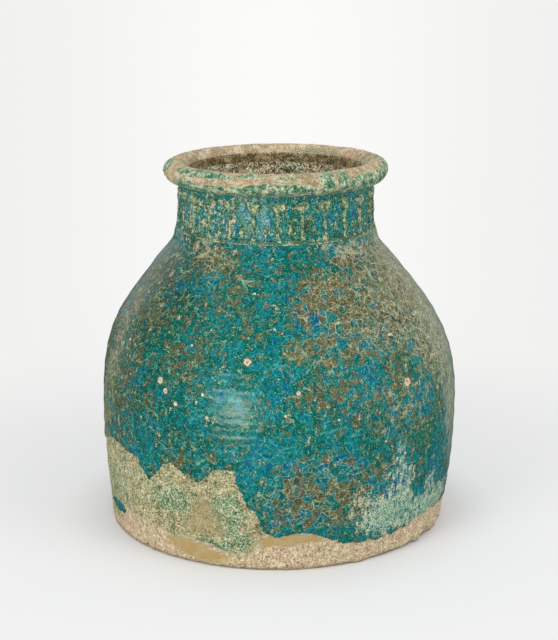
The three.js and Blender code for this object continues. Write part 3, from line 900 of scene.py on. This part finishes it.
def bodyGlazeFinish():
    g, look = paintGraph("turquoiseGlaze"), bodyLook
    olive, large, mottle, abraded, bright, blue, haze, ashen, dark, within = g.painted(
        "olive", "largeCells", "mottle", "abraded", "bright", "blue", "haze", "ashen", "dark", "within")
    cloud, drift, patch, fine, grit = g.noises(look)
    dab, otherDab, scratch, streaks = (
        g.streaks(*look[name]) for name in ("dab", "otherDab", "scratch", "streaks"))
    cellFirst, cellSecond, cellCrack = crazing(g, *look["cells"])
    netCrack, hairline, shortLine = (crazing(g, *look[name])[2] for name in ("net", "hairline", "shortLine"))
    rising, falling = longCrack(g, *look["rising"]), longCrack(g, *look["falling"])
    size = (large + (drift - 0.5) * 1.6).fade(0.4, 0.58)

    # the glaze itself, from blue to green
    tone = (cloud - 0.5) * 1.1 + (drift - 0.5) * 0.9 + (patch - 0.5) * 0.8
    g.colour = g.ramp(tone + (cellFirst - 0.5) * size * 0.4 + dark * 0.12 + 0.5, "glaze")
    blueness = (otherDab - 0.5) * 2.6 + (patch - 0.5) * 0.8 + (cellFirst - 0.5) * size * 0.5 + blue * 0.42
    blueness = blueness - (olive + ashen + dark * 0.4) * 0.42
    g.lay(blueness.fade(0.18, 0.6) * 0.78, "blue")

    # brown and ashen weathering, and a film of haze, partly a painted grazing sheen at the sides
    brownness = ((dab - 0.5) * 2.9 + (patch - 0.5) * 1.4) * (1 - size * 0.6) + (cellSecond - 0.5) * size * 2.2
    brownness = brownness + (cloud - 0.5) * 1.2 + olive * 0.75 - bright * 0.2 - blue * 0.25 - 0.05
    g.lay(brownness.fade(0.02, 0.56) * 0.86, g.ramp(patch * 0.7 + drift * 0.3, "brown"))
    ash = g.ramp(patch * 0.5 + drift * 0.5, "ash")
    ash = g.mix((cloud * 0.6 + drift * 0.4).fade(0.46, 0.58) * 0.7, ash, "ashGreen")
    ashes = (ashen + (drift - 0.5) * 1.8 + (patch - 0.5) * 1.4 + (dab - 0.5) * 0.6).fade(0.3, 0.85)
    g.lay(ashes * 0.9, ash)
    film = (haze * 0.9 + (drift - 0.5) * 1.4 + (grit - 0.5) * 0.6).fade(0.4, 1.0)
    g.lay(film * 0.7, g.mix((dab - 0.5).fade(-0.1, 0.1), "film", "taupe"))
    # painted shade darkens the left shoulder, and painted light partly lifts the bright patches at the front
    g.shade((grit - 0.5) * 2.8 + (fine - 0.5) * 1.7 + 1.03 - dark * 0.34 + bright * 0.1)

    # pale flecks, and the crust under the neck
    fleck = (grit * 0.5 + scratch * 0.5 + (cloud - 0.5) * 0.1 + ashes * 0.01).fade(0.575, 0.625)
    g.lay(fleck * 0.65, g.mix(olive.most(ashes) * 0.8, "fleck", "cream"))
    patches = (mottle * 0.75 + (g.noise(4.2, 3.0, 0.7) - 0.5) * 2.2).fade(0.5, 0.72)
    g.lay(patches * 0.75, g.ramp(grit * 0.8 + patch * 0.2, "mottle"))

    # rubbed whitish down by the foot
    rubbed = abraded + (streaks - 0.5) * 1.6 + (drift - 0.5) * 1.4 + (patch - 0.5) * 1.4 + (grit - 0.5) * 2.6
    rubbed = rubbed.fade(0.44, 1.08)
    g.lay(rubbed * 0.78, g.ramp(grit * 0.7 + streaks * 0.15 + patch * 0.15, "dust"))

    # crackle: a net in the big cells and in the ashen parts, short hairlines elsewhere
    broken, short = g.noise(3.0, 2.0, 0.6), g.noise(2.2, 2.0, 0.6)
    inCells = cellCrack * size * (broken.fade(0.44, 0.6) * 0.5 + 0.1) * (olive * 0.7 + 0.8)
    inNet = netCrack * ashes.most(olive.fade(0.45, 0.95)) * (1 - size) * (broken.fade(0.38, 0.5) * 0.9 + 0.1)
    lines = inCells.most(inNet).most(hairline * short.fade(0.5, 0.56) * 0.8)
    lines = lines.most(shortLine * g.noise(1.7, 2.0, 0.6).fade(0.52, 0.57) * 0.75)
    lines = lines.most(rising.most(falling) * g.noise(8.0, 1.0).fade(0.5, 0.55) * short.fade(0.42, 0.5) * 0.8)
    g.lay(lines * 0.9, g.mix(olive.most(size * 0.7).most(ashes), "hairline", "crack"))

    # sparks and dots
    spark, sparkHue = scattered(g, look["sparkSize"], grit * 0.5, 0.38, 0.62, 0.5)
    g.lay(spark * 0.8, g.mix(sparkHue.fade(0.5, 0.9), "spark", "cream"))
    dot, dotHue = scattered(g, look["dotSize"], grit * 1.4, 0.8, 1.25, 0.76)
    g.lay(dot * 0.8, g.mix(dotHue.fade(0.3, 0.8), "cream", "dot"))

    # pits, and the edge where the coat is thin
    wobble = (fine - 0.5) * 1.3
    rusty, white = nearestPit(g, pits["rusty"]) + wobble, nearestPit(g, pits["white"]) + wobble
    nearest = rusty.least(white)
    g.lay((1 - nearest.fade(0.95, 1.4)) * 0.6, "brown")
    g.lay((1 - nearest.fade(0.7, 0.95)) * 0.9, "pitRim")
    g.lay((1 - rusty.fade(0.25, 0.62)) * 0.75, "rust")
    g.lay((1 - (within + (fine - 0.5) * 1.2).fade(0.3, 1.0)) * 0.7, "moss")

    roughness = film * 0.2 + rubbed * 0.3 + patches * 0.25 + ashes * 0.15 + brownness.fade(0.2, 0.4) * 0.06
    rings = (g.along("Z") * 1.3 + cloud * 6 + drift * 2).sine()
    bump = drift * 1.4 + fine * 0.3 + patch * 0.4 + cellFirst * size * 0.1 + rings * 0.15
    bump = bump - lines * 0.4 - (1 - nearest.fade(0.3, 1.0)) * 1.6 - rubbed * 0.3 + fleck * 0.1
    return g.finish(roughness + look["roughness"], bump, look)


clayLook = {
    "noises": [(5.5, 3.0, 0.6), (1.1, 3.0, 0.7), (0.5, 2.0, 0.6), (3.2, 1.0), (2.4, 2.0, 0.6)],
    "poreSize": 1.7, "poreRarity": 0.45, "bottomBandTop": 3.4, "roughness": 0.9, "bumpDepth": 0.7, "shine": 0.3,
}


def clayFinish():
    g, look = paintGraph("bareStonepaste"), clayLook
    granular, amber, khaki, green = g.painted("granular", "amber", "khaki", "green")
    coarse, fine, tiny, hue, lump = g.noises(look)

    # the foot: sandy, pored paste
    paste = g.mix(g.noise(24).fade(0.35, 0.65), "paste", "pastePink")
    paste = g.mix((coarse * 0.4 + lump * 0.6).fade(0.46, 0.58) * 0.75, paste, "pastePale")
    paste = g.shaded(paste, (fine - 0.5) * 2.1 + (lump - 0.5) * 0.6 + 1.16)
    pore = g.cells(look["poreSize"], g.place)
    holes = 1 - (pore * look["poreSize"] + (fine - 0.5) * 0.6).fade(0.2, 0.55)
    holes = holes * (g.parts(pore.output("Color"))[1] > look["poreRarity"])
    paste = g.mix(holes * 0.7, paste, "pore")
    paste = g.mix((1 - fine.fade(0.36, 0.46)) * 0.6, paste, "pore")

    # where the glaze has gone: grains of cream, green and pink
    grit = fine * 0.6 + tiny * 0.4 + (coarse - 0.5) * 0.28 + (lump - 0.5) * 0.2 - 0.002
    colder = (green + (g.noise(3.4, 2.0, 0.6) - 0.5) * 2.6 + (coarse - 0.5) * 0.8).fade(0.3, 0.75)
    crumbs = g.mix(hue.fade(0.54, 0.64) * 0.4, g.ramp(grit, "crumbs"), g.shaded("orangePaste", grit * 2.0))
    crumbs = g.mix(colder * 0.85, crumbs, g.ramp(grit, "coldCrumbs"))
    crumbs = g.shaded(crumbs, (fine - 0.5) * 1.2 + (tiny - 0.5) * 1.0 + 1.07)
    crumbs = g.mix(khaki * (coarse * 0.5 + 0.4), crumbs, g.shaded("khaki", (fine - 0.5) * 1.2 + 1))
    g.colour = g.mix(granular, paste, crumbs)
    ledge = granular.fade(0.02, 0.4) - granular.fade(0.5, 0.95)
    g.lay(ledge * 0.7, "pastePale")

    # drips of older glaze, and darker towards the very bottom of the foot
    smooth = g.mix(coarse.fade(0.42, 0.58), "amber", "khaki")
    smooth = g.mix((amber.fade(0.05, 0.5) - amber.fade(0.5, 0.98)) * 0.8, smooth, "pastePale")
    smooth = g.mix((1 - fine.fade(0.34, 0.47)) * 0.35, smooth, "pore")
    g.lay(amber.fade(0.1, 0.5), smooth)
    nearBottom = 1 - g.along("Z").fade(0.4, look["bottomBandTop"])
    g.lay(nearBottom * (lump * 0.5 + 0.3), "soil")
    relief = (fine * 1.1 + tiny * 0.6 + lump * 0.8 - holes * 0.8) * (1 - amber * 0.8)
    relief = relief + coarse * 0.9 + granular * grit * 0.8
    return g.finish(look["roughness"] - amber * 0.42, relief, look)


reliefLook = {
    "noises": [(3.4, 3.0, 0.65), (0.9, 3.0, 0.75), (0.7, 3.0, 0.75)],
    "roughness": 0.7, "bumpDepth": 0.35, "shine": 0.3,
}


def reliefClayFinish():
    g, look = paintGraph("mouldedStonepaste"), reliefLook
    coarse, fine, grit = g.noises(look)
    g.colour = g.ramp(fine * 0.55 + coarse * 0.45, "relief")
    low = 1 - g.along("Z").fade(neckFoot + 1.4, neckFoot + 3)
    g.lay(low * g.noise(5.0, 2.0, 0.6).fade(0.4, 0.56) * 0.8, "sillGreen")
    g.shade((grit - 0.5) * 2.6 + 1)
    return g.finish(look["roughness"], coarse + fine * 0.8, look)


neckLook = {
    "noises": [(15,), (5.0,), (2.6, 2.0, 0.55), (1.2, 3.0, 0.7), (0.75, 3.0, 0.75)],
    "dab": (2.0, 5.5), "scratch": (0.6, 1.6, 0.0, 3.0, 0.75), "cells": (2.8, 0.18, 1.6),
    "roughness": 0.2, "bumpDepth": 0.34, "shine": 0.35,
}


def neckGlazeFinish():
    g, look = paintGraph("pooledGlaze"), neckLook
    raised, rubbed, haze, blue, crusted = g.painted("raised", "rubbed", "haze", "blue", "crusted")
    standing = raised * (g.along("Z").fade(neckFoot + 1.6, neckFoot + 3.6) * 0.5 + 0.5)
    cloud, drift, patch, fine, grit = g.noises(look)
    dab, scratch = g.streaks(*look["dab"]), g.streaks(*look["scratch"])
    first, second, crack = crazing(g, *look["cells"])

    # the glaze in the hollows, with painted shade along the sides of the relief
    tone = (cloud - 0.5) * 0.9 + (drift - 0.5) * 0.8 + (dab - 0.5) * 1.1 + raised * 0.1 - blue * 0.2 + 0.52
    shade = raised.fade(0.02, 0.3) - raised.fade(0.4, 0.85)
    g.colour = g.mix(shade * 0.6, g.ramp(tone, "neck"), "groove")

    # crust, and the relief worn through to the clay
    worn = (standing + (patch - 0.5) * 2.6 + (fine - 0.5) * 1.4).fade(0.56, 0.85)
    crust = (patch * 0.5 + fine * 0.5 + crusted * 0.06 + haze * 0.02).fade(0.58, 0.63) * 0.85
    crust = crust.most(worn * 0.8)
    g.lay(crust, g.ramp(grit * 0.55 + patch * 0.45, "neckCrust"))
    bare = (rubbed * standing + (fine - 0.5) * 2.4 + (patch - 0.5) * 1.6).fade(0.44, 0.8)
    g.lay(bare * 0.75, g.ramp(grit, "neckWorn"))
    # taupe film of haze, partly a painted grazing sheen at the sides
    g.lay((haze + (drift - 0.5) * 0.9).fade(0.45, 1.1) * 0.5, "taupe")
    g.shade((grit - 0.5) * 3.0 + (fine - 0.5) * 1.4 + 1)

    fleck = (grit * 0.6 + scratch * 0.4).fade(0.56, 0.61)
    g.lay(fleck * 0.8, g.mix(second, "neckFleck", "cream"))
    g.lay(crack * (drift.fade(0.48, 0.56) * 0.6), "neckCrack")
    bump = drift * 1.4 + fine * 0.4 + first * 0.05 - crack * 0.3 - crust * 0.3
    return g.finish(crust * 0.3 + look["roughness"], bump, look)


lipLook = {
    "noises": [(5.0, 3.0, 0.6), (1.1, 3.0, 0.7), (0.7, 3.0, 0.75)],
    "roughness": 0.82, "bumpDepth": 0.5, "shine": 0.3,
}


def lipClayFinish():
    g, look = paintGraph("lipStonepaste"), lipLook
    green, inside = g.painted("green", "inside")
    coarse, fine, grit = g.noises(look)
    paste = g.mix(g.noise(20).fade(0.38, 0.62), "lipPaste", "lipDrab")
    paste = g.mix((coarse * 0.6 + fine * 0.4).fade(0.48, 0.6) * 0.65, paste, "lipPale")
    paste = g.mix((1 - fine.fade(0.36, 0.46)) * 0.6, paste, "lipPore")
    stain = (green * 0.9 + (coarse - 0.5) * 2.4 + (fine - 0.5) * 2.0).fade(0.26, 0.7)
    paste = g.mix(stain * 0.7, paste, g.mix(fine.fade(0.42, 0.56), "lipStain", "lipStainPale"))
    crumbs = g.ramp(fine * 0.4 + coarse * 0.3 + grit * 0.3, "lipInside")
    g.colour = g.mix((inside + (coarse - 0.5) * 0.8).fade(0.4, 0.65), paste, crumbs)
    pale = (g.noise(9, 3.0, 0.65) * 0.7 + fine * 0.3).fade(0.53, 0.58)
    g.lay(pale * (1 - inside) * 0.5, "lipPatch")
    g.shade((grit - 0.5) * 2.6 + (coarse - 0.5) * 0.8 + 0.92)
    bump = coarse + fine * 0.9
    return g.finish(look["roughness"] - stain * 0.25, bump, look)


lipGlazeLook = {
    "noises": [(3.6, 3.0, 0.65), (1.1, 3.0, 0.7), (0.7, 3.0, 0.75)], "cells": (2.4, 0.2, 1.4),
    "roughness": 0.3, "bumpDepth": 0.3, "shine": 0.35,
}


def lipGlazeFinish():
    g, look = paintGraph("lipGlaze"), lipGlazeLook
    cover = g.painted("cover")[0]
    coarse, fine, grit = g.noises(look)
    crack = crazing(g, *look["cells"])[2]
    g.colour = g.shaded(g.ramp(coarse * 0.55 + fine * 0.45, "lipGlaze"), (grit - 0.5) * 2.4 + 1)
    g.lay(crack * 0.35, "lipCrack")
    g.lay((1 - cover.fade(0.5, 0.95)) * 0.6, "cream")
    bump = coarse + fine * 0.5 - crack * 0.3
    return g.finish(fine * 0.25 + look["roughness"], bump, look)


insideLook = {
    "noises": [(4.5, 3.0, 0.65), (1.4, 3.0, 0.7), (0.8, 3.0, 0.75), (14,)],
    "roughness": 0.5, "bumpDepth": 0.4, "shine": 0.5,
}


def innerGlazeFinish():
    g, look = paintGraph("innerGlaze"), insideLook
    coarse, fine, grit, cloud = g.noises(look)
    mottling = fine * 0.4 + coarse * 0.22 + grit * 0.38
    greener = (cloud + (coarse - 0.5) * 0.6).fade(0.45, 0.6)
    g.colour = g.mix(greener * 0.7, g.ramp(mottling, "inside"), g.ramp(mottling, "insideGreen"))
    g.shade((grit - 0.5) * 2.6 + 1)
    return g.finish(fine * 0.3 + look["roughness"], coarse + fine, look)


print("modelling")
clayMaterial = clayFinish()
makeFloorSlab(clayMaterial)
makeCornerCoil(clayMaterial)
makeWall("lowerWall", floorTop, bodySeam, clayMaterial, "lower_wall")
makeWall("shoulderDome", bodySeam, neckFoot, clayMaterial, "shoulder_dome")
makeNeckCollar(clayMaterial)
makeArcadeBand(reliefClayFinish())
makeNeckGlaze(neckGlazeFinish())
makeRolledLip(lipClayFinish())
makeLipGlaze(lipGlazeFinish())
makeBodyGlaze(bodyGlazeFinish())
makeInnerGlaze(innerGlazeFinish())


# Studio: a pale floor and surround, soft lamps, and two pale boards that are seen only as reflections.
# Sizes and places are in metres; the spans that something fades over, and cardMiddle, are in millimetres.
studio = {
    "floorSize": 12.0, "floorSides": 96, "floorWhite": 0.73, "floorNear": (236, 238, 236),
    "floorFar": (241, 242, 240), "paintedGlowBehind": (251, 251, 250),
    "floorReflected": (0.084, 0.085, 0.083, 1.0), "floorGlow": 0.46,
    "fade": (150, 450), "glowAside": 0.18, "glowStart": (100, 700), "glowEnd": (4500, 11500),
    "contactShade": 0.4, "contact": (105, 150), "surroundSeen": (241, 242, 240),
    "surroundLight": (0.97, 0.98, 1.0, 1.0), "fillLight": 0.55, "glossLight": 0.12,
    "boardWhite": (1.0, 1.0, 0.98, 1.0), "boardBlack": (0.0, 0.0, 0.0, 1.0),
    "sweepRadius": 2.4, "sweepHeight": 2.6, "sweepGlow": 0.6, "sweepStart": 28, "sweepSteps": 32,
    "cardAngle": -24, "cardAway": 0.5, "cardWide": 0.4, "cardTall": 0.4, "cardGlow": 14.0,
    "cardMiddle": 90, "cardReach": 150,
    "lamps": [
        # name, place in metres, aim height, width, height, watts
        ("windowLeft", (-0.95, -1.15, 0.62), 0.11, 0.7, 0.9, 14.0),
        ("windowRight", (1.25, -0.75, 0.75), 0.11, 0.9, 1.0, 11.8),
        ("overhead", (0.0, 0.1, 1.7), 0.2, 1.6, 1.6, 12.0),
    ],
    "cameraAway": 1.0, "cameraHeight": 0.391, "cameraDip": 14.71, "lens": 89.1, "sensor": 36.0,
}


def staged(name, bm, material):
    piece = placed(name, bm)
    piece.data.materials.append(material)


def floorFinish():
    g = paintGraph("paleFloor")
    away = g.node("VectorMath", {"operation": "LENGTH"}, {0: g.place}).output("Value")
    aside = g.along("X").unsigned() / (away + 1000)
    far = away.fade(*studio["fade"])
    matt = g.node("BsdfDiffuse", None, {"Color": (studio["floorWhite"],) * 3 + (1.0,)})
    rays = g.node("LightPath")
    seen, gloss = rays.output("Is Camera Ray"), rays.output("Is Glossy Ray")
    # painted light: a brighter pool on the floor straight behind the jar, fading to the sides and far away
    middle = (1 - aside.fade(0, studio["glowAside"])) * away.fade(*studio["glowStart"])
    middle = middle * (1 - away.fade(*studio["glowEnd"]))
    shade = g.mix(middle, g.mix(far, studio["floorNear"], studio["floorFar"]), studio["paintedGlowBehind"])
    glow = g.node("Emission", None, {"Color": g.mix(gloss, shade, studio["floorReflected"]), "Strength": 1.0})
    near = studio["floorGlow"] - (1 - away.fade(*studio["contact"])) * studio["contactShade"]
    share = seen * (near + (1 - near) * far) + gloss
    return g.surfaced(g.node("MixShader", None, {0: share, 1: matt, 2: glow}))


def reflectedFinish(name, level, middle=(0, 0, 0), reach=1e6):
    # a pale board that is seen only as a reflection, and fades out with the distance from its middle
    g = paintGraph(name)
    shade = g.mix(g.away(middle).fade(reach * 0.2, reach), studio["boardWhite"], studio["boardBlack"])
    glow = g.node("Emission", None, {"Color": shade, "Strength": level})
    seen = g.node("LightPath").output("Is Glossy Ray")
    return g.surfaced(g.node("MixShader", None, {0: seen, 1: g.node("BsdfTransparent"), 2: glow}))


def makeSurround():
    world = bpy.data.worlds.new("surround")
    bpy.context.scene.world = world
    g = Graph(world)
    rays = g.node("LightPath")

    def level(strength, colour=studio["surroundLight"]):
        return g.node("Background", None, {"Color": paint(colour), "Strength": strength})

    camera = rays.output("Is Camera Ray").most(rays.output("Is Transmission Ray"))
    lit = g.node("MixShader", None, {0: rays.output("Is Glossy Ray"), 1: level(studio["fillLight"]),
                                     2: level(studio["glossLight"])})
    shown = level(1.0, studio["surroundSeen"])
    g.surfaced(g.node("MixShader", None, {0: camera, 1: lit, 2: shown}), "OutputWorld")


def makeFloor():
    bm = bmesh.new()
    bmesh.ops.create_circle(bm, cap_ends=True, segments=studio["floorSides"], radius=studio["floorSize"])
    staged("floor", bm, floorFinish())


def makeSweep():
    bm = bmesh.new()
    turn, radius = math.radians(studio["sweepStart"]), studio["sweepRadius"]
    corner = radius * math.cos(turn), radius * math.sin(turn)
    start = bm.verts.new((*corner, 0)), bm.verts.new((*corner, studio["sweepHeight"]))
    bmesh.ops.spin(bm, geom=[*start, bm.edges.new(start)], cent=(0, 0, 0), axis=(0, 0, 1), dvec=(0, 0, 0),
                   angle=math.pi - 2 * turn, steps=studio["sweepSteps"])
    staged("sweep", bm, reflectedFinish("paleSweep", studio["sweepGlow"]))


def makeCard():
    bm = bmesh.new()
    turn, away, half = math.radians(studio["cardAngle"]), studio["cardAway"], studio["cardWide"] / 2
    across, back, tall = math.sin(turn), math.cos(turn), studio["cardTall"]
    corners = [(-half, 0), (half, 0), (half, tall), (-half, tall)]
    bm.faces.new([bm.verts.new((away * across + x * back, x * across - away * back, z)) for x, z in corners])
    middle = (away * across / mm, -away * back / mm, studio["cardMiddle"])
    staged("card", bm, reflectedFinish("paleCard", studio["cardGlow"], middle, studio["cardReach"]))


def addLamp(name, place, aim, wide, tall, watts):
    data = bpy.data.lights.new(name, "AREA")
    data.shape, data.size, data.size_y, data.energy = "RECTANGLE", wide, tall, watts
    lamp = linked(name, data)
    lamp.location, lamp.visible_glossy = place, False
    lamp.rotation_euler = (Vector((0, 0, aim)) - Vector(place)).to_track_quat("-Z", "Y").to_euler()


def addCamera():
    view = bpy.data.cameras.new("camera")
    view.lens, view.sensor_width, view.sensor_fit = studio["lens"], studio["sensor"], "AUTO"
    camera = linked("camera", view)
    camera.location = (0, -studio["cameraAway"], studio["cameraHeight"])
    camera.rotation_euler = (math.radians(90 - studio["cameraDip"]), 0, 0)
    bpy.context.scene.camera = camera
    bpy.context.scene.view_settings.view_transform = "Standard"


makeFloor()
makeSweep()
makeCard()
makeSurround()
for lamp in studio["lamps"]:
    addLamp(*lamp)
addCamera()
print("studio ready")
